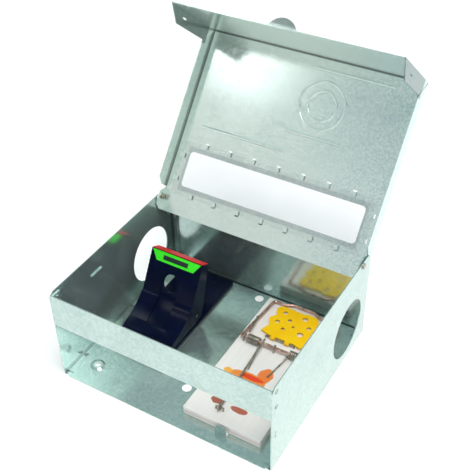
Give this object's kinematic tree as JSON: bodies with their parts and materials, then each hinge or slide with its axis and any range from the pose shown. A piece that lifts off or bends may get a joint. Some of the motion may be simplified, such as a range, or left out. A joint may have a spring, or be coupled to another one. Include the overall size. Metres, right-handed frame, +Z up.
{
  "type": "rodent bait station",
  "caption": "Folded zinc-coated steel box with side entrances and a windowed hinged lid, holding a wooden snap trap and a plastic jaw trap.",
  "frame": {"origin": "middle of the box's underside, under the four outer corners of the side walls", "axes": "+X to the right seen from the front, +Y to the rear where the lid hinges, +Z up; the lid stands open at rest"},
  "size_m": [0.2352, 0.3018, 0.3057],
  "materials": {
    "zinc_steel": "hot-dip zinc coat with fine spangle",
    "bare_steel": "bright drawn wire",
    "coppered_steel": "copper-washed wire",
    "clear_plastic": "clear plastic sheet",
    "pale_wood": "planed softwood with plain coloured blotches",
    "yellow_plastic": "moulded",
    "black_plastic": "moulded",
    "green_label": "plain printed panel",
    "red_plastic": "moulded"
  },
  "bodies": {
    "box": {"base_tray": "zinc_steel", "side_wall_left": "zinc_steel", "side_wall_right": "zinc_steel", "front_strip": "zinc_steel", "wall_rivets": "zinc_steel", "hinge_rivets": "bare_steel", "trap_base": "pale_wood", "hammer_staples": "bare_steel", "spring_left": "bare_steel", "spring_right": "bare_steel", "lock_staple": "bare_steel", "pedal_wire": "bare_steel", "jaw_base": "black_plastic", "jaw_pin": "bare_steel", "jaw_spring": "bare_steel", "trigger_pin": "bare_steel"},
    "lid": {"lid_panel": "zinc_steel", "window_sheet": "clear_plastic"},
    "hammer": {"hammer": "coppered_steel", "spring_hooks": "bare_steel"},
    "lock_bar": {"lock_bar": "bare_steel"},
    "pedal": {"bait_pedal": "yellow_plastic"},
    "jaw": {"jaw_lever": "black_plastic", "jaw_label": "green_label", "jaw_grip": "red_plastic"},
    "trigger": {"jaw_trigger": "red_plastic", "bait_cup": "yellow_plastic"}
  },
  "joints": [
    {"name": "lid_hinge", "type": "hinge", "parent": "box", "child": "lid", "pos_m": [0, 0.082, 0.1015], "axis": [1, 0, 0], "range_deg": [0, 129]},
    {"name": "hammer_hinge", "type": "hinge", "parent": "box", "child": "hammer", "pos_m": [0.055, 0.02, 0.0151], "axis": [1, 0, 0], "range_deg": [0, 175], "stiffness_Nm_per_rad": 0.35, "springref_deg": -85.94},
    {"name": "lock_bar_hinge", "type": "hinge", "parent": "box", "child": "lock_bar", "pos_m": [0.046, -0.07, 0.0146], "axis": [1, 0, 0], "range_deg": [0, 74]},
    {"name": "pedal_hinge", "type": "hinge", "parent": "box", "child": "pedal", "pos_m": [0.055, 0.033, 0.0128], "axis": [1, 0, 0], "range_deg": [0, 10]},
    {"name": "jaw_hinge", "type": "hinge", "parent": "box", "child": "jaw", "pos_m": [-0.066, 0.02, 0.016], "axis": [-1, 0, 0], "range_deg": [0, 45], "stiffness_Nm_per_rad": 0.5, "springref_deg": -45.84},
    {"name": "trigger_hinge", "type": "hinge", "parent": "box", "child": "trigger", "pos_m": [-0.066, 0.004, 0.0086], "axis": [1, 0, 0], "range_deg": [0, 2.5], "stiffness_Nm_per_rad": 0.05, "springref_deg": -5.73}
  ],
  "couplings": [
    {"joint": "lock_bar_hinge", "follows": "hammer_hinge", "ratio": 0.42}
  ]
}
